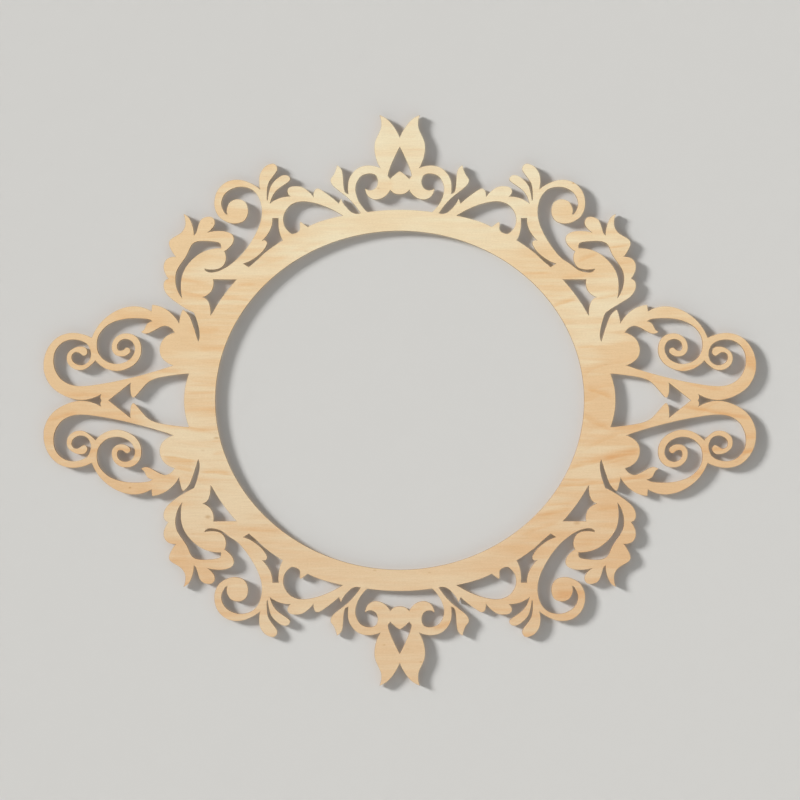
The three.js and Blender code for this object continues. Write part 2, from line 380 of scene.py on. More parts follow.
class Nodes:
    """Adds nodes to one shader tree and links them by their sockets."""

    def __init__(self, tree: bpy.types.NodeTree) -> None:
        """Keeps the tree that the nodes go into."""
        self.tree = tree

    def add(self, kind: str, **inputs: object) -> bpy.types.Node:
        """Adds a node.

        Args:
            kind: The node's type, without the words ShaderNode in front.
            inputs: Values or sockets for its inputs, by name with _ for a space, or settings of
                the node itself where the name is one of its properties.

        Returns:
            The node.
        """
        node = self.tree.nodes.new(kind if kind.startswith("NodeGroup") else "ShaderNode" + kind)
        for name, value in inputs.items():
            if hasattr(node, name):
                setattr(node, name, value)
            else:
                self.put(node.inputs[name.replace("_", " ")], value)
        return node

    def put(self, socket: bpy.types.NodeSocket, value: object) -> None:
        """Links a socket to an input, or sets the input's own value."""
        if isinstance(value, bpy.types.NodeSocket):
            self.tree.links.new(value, socket)
        else:
            socket.default_value = value

    def math(self, operation: str, *values: object) -> bpy.types.NodeSocket:
        """Adds a Math node.

        Args:
            operation: The operation's name.
            values: One to three numbers or sockets.

        Returns:
            The result.
        """
        node = self.add("Math", operation=operation)
        for socket, value in zip(node.inputs, values):
            self.put(socket, value)
        return node.outputs[0]

    def vector(self, operation: str, *values: object) -> bpy.types.NodeSocket:
        """Adds a Vector Math node.

        Args:
            operation: The operation's name.
            values: Vectors, numbers or sockets.

        Returns:
            The result, which is a number for LENGTH and DISTANCE.
        """
        node = self.add("VectorMath", operation=operation)
        sockets = [socket for socket in node.inputs if socket.enabled]
        for socket, value in zip(sockets, values):
            self.put(socket, value)
        return node.outputs["Value" if operation in ("LENGTH", "DISTANCE") else "Vector"]

    def ramp(self, value: object, low: float, high: float) -> bpy.types.NodeSocket:
        """Returns a smooth rise from 0 at low to 1 at high, or a fall where low is the larger."""
        node = self.add("MapRange", interpolation_type="SMOOTHSTEP", clamp=True)
        self.put(node.inputs["Value"], value)
        ends = (low, high, 0.0, 1.0) if low < high else (high, low, 1.0, 0.0)
        for name, end in zip(("From Min", "From Max", "To Min", "To Max"), ends):
            self.put(node.inputs[name], end)
        return node.outputs["Result"]

    def mix(self, factor: object, low: object, high: object) -> bpy.types.NodeSocket:
        """Returns the colour low where the factor is 0, and the colour high where it is 1."""
        node = self.add("Mix", data_type="RGBA", clamp_factor=True)
        self.put(node.inputs["Factor"], factor)
        self.put(node.inputs[6], low)
        self.put(node.inputs[7], high)
        return node.outputs[2]

    def noise(self, place: object, *layers: Lumps) -> bpy.types.NodeSocket:
        """Adds up layers of noise.

        Args:
            place: Where the pattern is read, in metres.
            layers: The layers, each about 0.5 and mostly between 0.25 and 0.75, times its share.

        Returns:
            The sum.
        """
        rough = 0.55
        total = 0.0
        for layer in layers:
            size = (layer.x * MM, layer.y * MM, layer.z * MM)
            node = self.add("TexNoise", Scale=1.0, Detail=layer.detail, Roughness=rough)
            self.put(node.inputs["Distortion"], layer.warp)
            self.put(node.inputs["Vector"], self.vector("DIVIDE", place, size))
            total = self.math("MULTIPLY_ADD", node.outputs["Fac"], layer.share, total)
        return total

    def wood(self, **inputs: object) -> None:
        """Ends a material with raw wood, which shines weakly."""
        weak_shine = 0.25
        shader = self.add("BsdfPrincipled", Specular_IOR_Level=weak_shine, **inputs)
        self.add("OutputMaterial", Surface=shader.outputs[0])


def new_material(name: str) -> tuple[bpy.types.Material, Nodes]:
    """Makes a material without nodes.

    Args:
        name: Its name.

    Returns:
        The material, and what adds nodes to it.
    """
    material = bpy.data.materials.new(name)
    material.use_nodes = True
    material.node_tree.nodes.clear()
    return material, Nodes(material.node_tree)


def new_group(name: str, numbers: tuple[str, ...], masks: tuple[str, ...]) -> bpy.types.NodeTree:
    """Makes a shader group that reads a place and gives masks.

    Args:
        name: Its name.
        numbers: The names of the numbers that it takes besides the place.
        masks: The names of what it gives.

    Returns:
        The group, with its sockets and without nodes.
    """
    tree = bpy.data.node_groups.new(name, "ShaderNodeTree")
    tree.interface.new_socket(name="Place", in_out="INPUT", socket_type="NodeSocketVector")
    for number in numbers:
        tree.interface.new_socket(name=number, in_out="INPUT", socket_type="NodeSocketFloat")
    for mask in masks:
        tree.interface.new_socket(name=mask, in_out="OUTPUT", socket_type="NodeSocketFloat")
    return tree


def new_object(name: str, data: bpy.types.ID) -> bpy.types.Object:
    """Makes an object and links it to the scene.

    Args:
        name: Its name.
        data: Its mesh, light or camera.

    Returns:
        The object.
    """
    made = bpy.data.objects.new(name, data)
    bpy.context.scene.collection.objects.link(made)
    return made


def colour(red: int, green: int, blue: int) -> Rgba:
    """Turns a colour on the usual 0 to 255 scale into the linear values that shaders take.

    Args:
        red: Red.
        green: Green.
        blue: Blue.

    Returns:
        Linear red, green, blue and a full alpha.
    """
    def linear(value: int) -> float:
        share = value / 255
        return share / 12.92 if share <= 0.04045 else ((share + 0.055) / 1.055) ** 2.4

    return linear(red), linear(green), linear(blue), 1.0


@dataclass(frozen=True)
class Streak:
    """A tan growth streak in the veneer, in millimetres from the middle of the opening.

    It ends sharply on one side, within `sharp`, and fades out over `soft` on the other: above
    where `soft` is positive, below where it is negative. `rise` is its slope.
    """

    x: float
    z: float
    half_length: float
    soft: float
    sharp: float
    rise: float
    strength: float


FRONT_STREAKS = (
    # The crest.
    Streak(6.5, 168.5, 5, 2.5, 1, 0, 0.22),
    Streak(10, 160.5, 7, 2, 1, 0.1, 0.25),
    Streak(31, 137.5, 5, 1.2, 0.8, 0, 0.32),
    Streak(-9.5, 137, 7, 8, 5, 0, 0.32),
    # The right side, from the top down.
    Streak(140.9, 98.5, 8, 1.8, 1, 0.18, 0.5),
    Streak(120.4, 91.4, 8, 3.4, 1.6, 0.42, 0.55),
    Streak(142.8, 87.9, 9, 3.2, 1.6, 0.2, 0.35),
    Streak(86.5, 81.2, 13, 2.2, 1.1, 0.05, 0.5),
    Streak(114, 79.8, 14, 4.5, 2, 0.14, 0.4),
    Streak(93.5, 73.2, 8, 1.6, 1.2, 0, 0.3),
    Streak(135.8, 66.4, 15, 3.2, 1.6, 0.18, 0.55),
    Streak(105.7, 62.6, 11, 3.8, 1.5, 0.38, 0.65),
    Streak(119, 34.6, 7, 3, 1.2, 0.1, 0.3),
    Streak(127.1, 4.4, 11, 4.6, 1.4, -0.33, 0.6),
    Streak(126.2, -14.6, 11, 4.6, 2.2, -0.45, 0.45),
    Streak(148.6, -16.8, 16, 4, 2, 0.12, 0.4),
    Streak(142, -35.4, 16, 5.6, 2.2, 0.22, 0.82),
    Streak(137, -39.6, 11, 1.8, 1.2, 0.24, 0.38),
    Streak(118.5, -41.2, 15, 5.2, 1.7, 0.2, 0.7),
    Streak(112, -50.6, 12, 1.6, 0.9, 0.06, 0.45),
    Streak(142, -51, 22, 3, 1.5, 0.14, 0.72),
    Streak(115, -53.8, 19, 2.6, 1.3, 0.08, 0.66),
    Streak(101.8, -66.4, 11, 2, 1.2, 0.1, 0.5),
    Streak(133.8, -68.4, 10, 3.2, 2, 0.05, 0.4),
    Streak(100, -71.8, 14, 4, 2.2, 0.12, 0.75),
    Streak(90.3, -81.6, 14, 3, 1.6, 0.36, 0.35),
    Streak(116.6, -93, 9, 6, 3, 0.1, 0.4),
    Streak(108.9, -124, 12, 8, 4, 0.15, 0.55),
    # The right wing.
    Streak(189.8, 46, 6, 4, 2, -0.5, 0.35),
    Streak(224, 24, 7, 16, 6, -0.8, 0.75),
    Streak(185.5, 20.5, 13, 2.6, 1.2, 0.25, 0.6),
    Streak(165, 12, 8, 3, 1.5, -0.3, 0.3),
    Streak(196, 8.6, 16, 3, 1.2, -0.15, 0.4),
    Streak(203, -8, 30, 3, 1.4, -0.16, 0.7),
    Streak(224, -23.5, 7, 3.5, 2, 0.1, 0.45),
    Streak(203, -32, 7, 3, 1.5, 0, 0.6),
    Streak(195.6, -33, 5, 7, 3, 0, 0.5),
    Streak(175.5, -33, 8, 4, 2, 0.1, 0.5),
    Streak(221, -34, 8, 4, 2, 0.35, 0.75),
    Streak(191.5, -47.5, 7, 4, 2.5, 0.3, 0.6),
    # The left side, from the top down.
    Streak(-57.5, 98.8, 15, 3, 1.6, 0.25, 0.25),
    Streak(-83.1, 88.4, 15, 3.4, 1.8, 0.28, 0.3),
    Streak(-136.9, 77, 16, -3, 1.4, -0.2, 0.45),
    Streak(-147, 76, 5, 6, 3, -0.2, 0.35),
    Streak(-98, 74.6, 7, 3, 1.6, 0, 0.45),
    Streak(-135, 68.7, 16, -3.4, 1.5, -0.17, 0.45),
    Streak(-104, 64.8, 12, 2.6, 1.4, -0.1, 0.55),
    Streak(-120, 44.6, 6, 3, 1.6, 0, 0.4),
    Streak(-126.6, 44, 11, 5.5, 3, -0.04, 0.35),
    Streak(-119, 33, 12, 5, 3, 0, 0.32),
    Streak(-127, 4.6, 10, 1.2, 0.8, 0, 0.25),
    Streak(-128, -5.6, 15, 13, 2.6, 0, 0.45),
    Streak(-135.6, -17.2, 21, -3.2, 1.1, -0.12, 0.6),
    Streak(-116.6, -25.4, 5, 1.8, 1, 0, 0.35),
    Streak(-115, -34, 6, 2.8, 1.4, 0.2, 0.35),
    Streak(-140.7, -37.4, 14, -5.6, 1.1, -0.17, 0.95),
    Streak(-138, -43.8, 8, 4.4, 2, -0.2, 0.6),
    Streak(-117.7, -46.3, 13, 3.2, 1.2, -0.1, 0.78),
    Streak(-151, -48.6, 13, 4, 1.6, -0.25, 0.45),
    Streak(-111.3, -78.6, 9, 2, 1.2, 0, 0.45),
    Streak(-87, -84.2, 13, 3, 1.5, -0.08, 0.35),
    Streak(-141, -101, 7, 6, 3, 0.1, 0.3),
    Streak(-123, -117, 6, 8, 4, 0, 0.3),
    Streak(-136, -118, 5, 8, 4, 0, 0.3),
    # The left wing.
    Streak(-165, 50, 24, 10, 5, -0.15, 0.4),
    Streak(-200, 3, 20, 4, 2, -0.05, 0.45),
    Streak(-216, -10.5, 12, 3.5, 1.5, 0.25, 0.5),
    Streak(-224.6, -23.5, 6, 3.5, 2, 0, 0.45),
    Streak(-194, -31, 8, 5, 2.5, 0.2, 0.45),
    Streak(-176.6, -31.5, 7, 3, 1.5, 0, 0.5),
    Streak(-168, -35, 5, 7, 3, 0, 0.45),
    Streak(-162, -58.5, 9, 3, 1.5, 0.1, 0.3),
    # The bottom crest.
    Streak(-13, -133, 7, 3, 2, 0, 0.35),
    Streak(10, -134, 7, 3, 2, 0.2, 0.35),
    Streak(28, -144, 8, 5, 3, 0.35, 0.55),
)


@dataclass(frozen=True)
class PinKnot:
    """A small dark knot in the veneer, in millimetres from the middle of the opening."""

    x: float
    z: float
    half_length: float
    half_width: float
    depth: float


FRONT_KNOTS = (
    PinKnot(111.2, 139.2, 1.1, 0.8, 1),
    PinKnot(-13.7, 135.8, 1.2, 0.9, 0.45),
    PinKnot(-120.2, 113.4, 1, 0.7, 0.55),
    PinKnot(-117.3, -24, 2.2, 1, 0.75),
    PinKnot(-126, -32, 1.6, 0.8, 0.3),
    PinKnot(-172.7, -55.9, 1.1, 0.7, 0.9),
    PinKnot(-122.8, -74.6, 2.4, 1.6, 0.7),
    PinKnot(113.4, -78.5, 2.8, 1.5, 0.6),
    PinKnot(-16, -108.8, 1.5, 0.8, 0.5),
    PinKnot(19, -110.2, 1.3, 0.7, 0.35),
    PinKnot(-10, -156.5, 1.3, 0.8, 0.4),
    PinKnot(5.2, -159.1, 1.9, 0.5, 0.4),
    PinKnot(13.6, -167.4, 1.3, 0.8, 0.5),
)


@dataclass(frozen=True)
class StreakMark:
    """One growth streak, as a shader group that is placed once for each streak."""

    name: str = "growth streak"
    inputs: tuple[str, ...] = ("X", "Z", "Half Length", "Soft", "Sharp", "Rise", "Strength")
    full_along: float = 0.4

    def group(self) -> bpy.types.NodeTree:
        """Makes the group, or returns the one that is there.

        With v the height above the streak's sloping line, the mask falls smoothly from 1 at v = 0
        to 0 at v = soft on one side and at a distance of sharp on the other. Along the streak it
        is full up to a share of the half length, and falls to 0 at the end.

        Returns:
            The group, which reads a place in metres and gives a mask.
        """
        if self.name in bpy.data.node_groups:
            return bpy.data.node_groups[self.name]
        tree = new_group(self.name, self.inputs, ("Mask",))
        nodes = Nodes(tree)
        given = nodes.add("NodeGroupInput").outputs
        split = nodes.add("SeparateXYZ", Vector=given["Place"])
        x = nodes.math("SUBTRACT", nodes.math("DIVIDE", split.outputs["X"], MM), given["X"])
        z = nodes.math("SUBTRACT", nodes.math("DIVIDE", split.outputs["Z"], MM), given["Z"])
        v = nodes.math("SUBTRACT", z, nodes.math("MULTIPLY", x, given["Rise"]))
        soft = nodes.math("DIVIDE", v, given["Soft"])
        steeper = nodes.math("DIVIDE", nodes.math("ABSOLUTE", given["Soft"]), given["Sharp"])
        sharp = nodes.math("MULTIPLY", nodes.math("MULTIPLY", soft, steeper), -1.0)
        across = nodes.ramp(nodes.math("MAXIMUM", soft, sharp), 1.0, 0.0)
        along = nodes.math("ABSOLUTE", nodes.math("DIVIDE", x, given["Half Length"]))
        mask = nodes.math("MULTIPLY", across, nodes.ramp(along, 1.0, self.full_along))
        nodes.add("NodeGroupOutput", Mask=nodes.math("MULTIPLY", mask, given["Strength"]))
        return tree


@dataclass(frozen=True)
class BirchFigure:
    """The pattern of rotary-cut birch, as a shader group that every ply's material uses."""

    name: str = "birch figure"
    ring_spacing: float = 12 * MM
    ring_bow: float = 590 * MM
    waves: tuple[Lumps, ...] = (Lumps(150, 60, 60, 5.0, 1.5, 0.3), Lumps(40, 30, 12, 1.2))
    ring_start: Pair = (0.35, 0.93)
    ring_end: Pair = (1.0, 0.94)
    faintness: float = 1.6
    patch: Lumps = Lumps(70, 60, 30, detail=1.0)
    patch_edge: Pair = (0.36, 0.64)
    fibres: tuple[Lumps, ...] = (Lumps(9, 3, 0.6, 0.45, 3.0), Lumps(1.3, 1, 0.5, 0.55))
    fleck_cell: Triple = (12 * MM, 9 * MM, 3.6 * MM)
    fleck_edge: Pair = (0.17, 0.05)
    fleck_choice: Pair = (0.72, 0.98)
    warm_bands: tuple[Lumps, ...] = (Lumps(90, 60, 34, 0.55, 2.0, 0.3), Lumps(60, 20, 5, 0.45))

    def group(self) -> bpy.types.NodeTree:
        """Makes the group, or returns the one that is there.

        The knife peels the log along wavy shells, so the growth rings show as contour lines of a
        slow wave over the sheet. The wave is the height across the grain, bowed by x squared over
        twice the bow's radius, plus two layers of long noise. Each ring darkens gently towards its
        lower edge and stops there, and each has a strength of its own.

        Returns:
            The group, which reads a place in metres with X along the grain.
        """
        if self.name in bpy.data.node_groups:
            return bpy.data.node_groups[self.name]
        tree = new_group(self.name, (), ("Warmth", "Streak", "Fleck", "Fibre"))
        nodes = Nodes(tree)
        place = nodes.add("NodeGroupInput").outputs["Place"]
        split = nodes.add("SeparateXYZ", Vector=place)

        squared = nodes.math("MULTIPLY", split.outputs["X"], split.outputs["X"])
        height = nodes.math("MULTIPLY_ADD", squared, -0.5 / self.ring_bow, split.outputs["Z"])
        wave = nodes.noise(place, *self.waves)
        wave = nodes.math("MULTIPLY_ADD", height, -1 / self.ring_spacing, wave)
        ring = nodes.math("FRACT", wave)
        own = nodes.add("TexWhiteNoise", noise_dimensions="1D", W=nodes.math("FLOOR", wave))
        dark = nodes.math("POWER", own.outputs["Value"], self.faintness)
        start = nodes.ramp(ring, *self.ring_start)
        edge = nodes.math("MULTIPLY", start, nodes.ramp(ring, *self.ring_end))
        patch = nodes.ramp(nodes.noise(place, self.patch), *self.patch_edge)
        streak = nodes.math("MULTIPLY", nodes.math("MULTIPLY", edge, dark), patch)

        cell = nodes.add("TexVoronoi", Scale=1.0, Randomness=1.0)
        nodes.put(cell.inputs["Vector"], nodes.vector("DIVIDE", place, self.fleck_cell))
        chosen = nodes.add("SeparateColor", Color=cell.outputs["Color"]).outputs["Red"]
        near = nodes.ramp(cell.outputs["Distance"], *self.fleck_edge)
        fleck = nodes.math("MULTIPLY", near, nodes.ramp(chosen, *self.fleck_choice))

        warmth = nodes.noise(place, *self.warm_bands)
        fibre = nodes.noise(place, *self.fibres)
        nodes.add("NodeGroupOutput", Warmth=warmth, Streak=streak, Fleck=fleck, Fibre=fibre)
        return tree


@dataclass(frozen=True)
class BirchFace:
    """Raw, sanded birch veneer as the face of a ply.

    Its colour is a pale cream at the top of the sheet that warms downwards, times a tint for each
    thing that lies in the wood: warm bands, growth streaks, flecks, pin knots and fibres. A pair
    of numbers is where a smooth change starts and where it ends.
    """

    name: str
    shift: Triple
    streaks: tuple[Streak, ...] = ()
    knots: tuple[PinKnot, ...] = ()
    ring_strength: float = 0.38
    fleck_strength: float = 0.28

    cream: Rgba = colour(237, 219, 182)
    tan: Rgba = colour(223, 195, 157)
    pale_tint: Rgba = (1.01, 1.04, 1.075, 1.0)
    warm_tint: Rgba = (0.96, 0.84, 0.738, 1.0)
    no_tint: Rgba = (1.0, 1.0, 1.0, 1.0)
    streak_tint: Rgba = (0.95, 0.785, 0.625, 1.0)
    knot_tint: Rgba = (0.74, 0.60, 0.46, 1.0)
    shade_tint: Rgba = (0.795, 0.745, 0.69, 1.0)
    shine_tint: Rgba = (1.099, 1.149, 1.204, 1.0)

    middle_z: float = -115.25 * MM
    cream_to_tan: Pair = (150 * MM, -150 * MM)
    aside: Pair = (30 * MM, 110 * MM)
    wings: Pair = (120 * MM, 200 * MM)
    left: Pair = (-40 * MM, -110 * MM)
    upper: Pair = (-70 * MM, 70 * MM)
    lower_right: Pair = (20 * MM, 200 * MM)

    cloud_edge: Pair = (0.35, 0.65)
    cloud_warmth: float = 0.65
    cloud_warmth_aside: float = 0.5
    middle_warmth: float = 0.175
    aside_warmth: float = 0.42
    wing_warmth: float = 0.55
    left_warmth: float = 0.25
    lower_right_warmth: float = 0.2

    rings_in_middle: float = 0.25
    waver: float = 3.6 * MM
    waves: Lumps = Lumps(24, 20, 9)
    threads: Lumps = Lumps(22, 20, 0.8)
    thread_edge: Pair = (0.25, 0.62)
    thread_least: float = 0.65
    thread_more: float = 0.6
    knot_edge: Pair = (1.2, 0.1)

    roughness: float = 0.66
    smoother_fibre: float = -0.2
    bump_strength: float = 0.25
    bump_height: float = 0.06 * MM

    def streak_mask(self, nodes: Nodes, place: bpy.types.NodeSocket) -> bpy.types.NodeSocket:
        """Lays the growth streaks over each other.

        Every streak wavers with one slow noise that moves the place across the grain, and long
        thin threads run through it.

        Args:
            nodes: The material's nodes.
            place: The place on the face, in metres from the middle of the opening.

        Returns:
            A mask, 1 in the middle of the strongest streak.
        """
        wave = nodes.noise(place, self.waves)
        push = nodes.math("MULTIPLY_ADD", wave, self.waver, -self.waver / 2)
        moved = nodes.vector("ADD", place, nodes.add("CombineXYZ", Z=push).outputs[0])
        thread = nodes.ramp(nodes.noise(place, self.threads), *self.thread_edge)
        thread = nodes.math("MULTIPLY_ADD", thread, self.thread_more, self.thread_least)
        mask = 0.0
        for streak in self.streaks:
            mark = nodes.add("Group", node_tree=StreakMark().group(), Place=moved)
            for name, value in zip(StreakMark().inputs, astuple(streak)):
                nodes.put(mark.inputs[name], value)
            mask = nodes.math("MAXIMUM", mask, mark.outputs["Mask"])
        return nodes.math("MULTIPLY", mask, thread)

    def knot_mask(self, nodes: Nodes, place: bpy.types.NodeSocket) -> bpy.types.NodeSocket | float:
        """Draws the pin knots, each a small soft ellipse.

        Args:
            nodes: The material's nodes.
            place: The place on the face, in metres from the middle of the opening.

        Returns:
            A mask, 1 in the darkest knot, or plain 0 on a face without knots.
        """
        mask = 0.0
        for knot in self.knots:
            centre = (knot.x * MM, 0.0, knot.z * MM)
            size = (knot.half_length * MM, 1.0, knot.half_width * MM)
            offset = nodes.vector("DIVIDE", nodes.vector("SUBTRACT", place, centre), size)
            part = nodes.ramp(nodes.vector("LENGTH", offset), *self.knot_edge)
            mask = nodes.math("MAXIMUM", mask, nodes.math("MULTIPLY", part, knot.depth))
        return mask

    def warmth(self, nodes: Nodes, bands: bpy.types.NodeSocket, place: bpy.types.NodeSocket,
               aside: bpy.types.NodeSocket) -> bpy.types.NodeSocket:
        """Works out how warm the veneer is, from 0 to 1.

        Warm bands lie in it everywhere, more so at the sides. The sides, the wings, the upper left
        and the lower right are warmer as a whole, and the lower left is paler.

        Args:
            nodes: The material's nodes.
            bands: The figure's warm bands.
            place: The place on the face, in metres from the middle of the opening.
            aside: 0 in the middle of the sheet and 1 at its sides.

        Returns:
            The warmth.
        """
        split = nodes.add("SeparateXYZ", Vector=place).outputs
        x, z = split["X"], split["Z"]
        spread = nodes.math("MULTIPLY_ADD", aside, self.cloud_warmth_aside, self.cloud_warmth)
        cloud = nodes.math("SUBTRACT", nodes.ramp(bands, *self.cloud_edge), 0.5)
        warmth = nodes.math("MULTIPLY_ADD", cloud, spread, self.middle_warmth)
        warmth = nodes.math("MULTIPLY_ADD", aside, self.aside_warmth, warmth)
        wings = nodes.ramp(nodes.math("ABSOLUTE", x), *self.wings)
        warmth = nodes.math("MULTIPLY_ADD", wings, self.wing_warmth, warmth)
        upper = nodes.math("MULTIPLY_ADD", nodes.ramp(z, *self.upper), 2.0, -1.0)
        left = nodes.math("MULTIPLY", nodes.ramp(x, *self.left), upper)
        warmth = nodes.math("MULTIPLY_ADD", left, self.left_warmth, warmth)
        lower_right = nodes.ramp(nodes.math("SUBTRACT", x, z), *self.lower_right)
        return nodes.math("MULTIPLY_ADD", lower_right, self.lower_right_warmth, warmth)

    def material(self) -> bpy.types.Material:
        """Makes the material.

        Returns:
            The material, which reads Object coordinates.
        """
        material, nodes = new_material(self.name)
        at = nodes.add("TexCoord").outputs["Object"]
        place = nodes.vector("SUBTRACT", at, (0.0, 0.0, self.middle_z))
        shifted = nodes.vector("ADD", place, self.shift)
        figure = nodes.add("Group", node_tree=BirchFigure().group(), Place=shifted).outputs
        split = nodes.add("SeparateXYZ", Vector=place).outputs
        aside = nodes.ramp(nodes.math("ABSOLUTE", split["X"]), *self.aside)

        tone = nodes.mix(nodes.ramp(split["Z"], *self.cream_to_tan), self.cream, self.tan)
        warmth = self.warmth(nodes, figure["Warmth"], place, aside)
        rings = nodes.math("MULTIPLY_ADD", aside, 1 - self.rings_in_middle, self.rings_in_middle)
        rings = nodes.math("MULTIPLY", rings, self.ring_strength)
        rings = nodes.math("MULTIPLY", figure["Streak"], rings)
        streaks = nodes.math("ADD", rings, self.streak_mask(nodes, place))
        flecks = nodes.math("MULTIPLY", figure["Fleck"], self.fleck_strength)
        knots = nodes.math("MAXIMUM", flecks, self.knot_mask(nodes, place))
        tints = (
            (warmth, self.pale_tint, self.warm_tint),
            (streaks, self.no_tint, self.streak_tint),
            (knots, self.no_tint, self.knot_tint),
            (figure["Fibre"], self.shade_tint, self.shine_tint),
        )
        for tint in tints:
            tone = nodes.vector("MULTIPLY", tone, nodes.mix(*tint))

        rough = nodes.math("MULTIPLY_ADD", figure["Fibre"], self.smoother_fibre, self.roughness)
        bump = nodes.add("Bump", Strength=self.bump_strength, Distance=self.bump_height)
        nodes.put(bump.inputs["Height"], figure["Fibre"])
        nodes.wood(Base_Color=tone, Roughness=rough, Normal=bump.outputs[0])
        return material


@dataclass(frozen=True)
class CutEdge:
    """The edge that the laser leaves: wood toasted brown, with fine marks along the beam."""

    name: str
    light: Rgba
    dark: Rgba
    beam: Lumps = Lumps(0.28, 9, 1000, 0.55)
    broad: Lumps = Lumps(6, 12, 1000, 0.5)
    pores: Lumps = Lumps(0.5, 0.3, 1000, 0.25)
    contrast: float = 1.2
    least_toast: float = -0.42
    end_grain_toast: float = 0.45
    roughness: float = 0.7
    bump_strength: float = 0.35
    bump_height: float = 0.08 * MM

    def material(self) -> bpy.types.Material:
        """Makes the material.

        End grain takes more heat than long grain, so it is darker. The beam leaves fine lines
        from face to face, which vary along the cut and hardly at all through the sheet.

        Returns:
            The material, which reads the piece's cut_run UV map and end_grain attribute.
        """
        material, nodes = new_material(self.name)
        run = nodes.add("UVMap", uv_map="cut_run").outputs["UV"]
        end = nodes.add("Attribute", attribute_name="end_grain").outputs["Fac"]
        mark = nodes.noise(run, self.broad, self.beam, self.pores)
        toast = nodes.math("MULTIPLY_ADD", mark, self.contrast, self.least_toast)
        toast = nodes.math("MULTIPLY_ADD", end, self.end_grain_toast, toast)
        tone = nodes.mix(toast, self.light, self.dark)
        bump = nodes.add("Bump", Strength=self.bump_strength, Distance=self.bump_height)
        nodes.put(bump.inputs["Height"], mark)
        nodes.wood(Base_Color=tone, Roughness=self.roughness, Normal=bump.outputs[0])
        return material


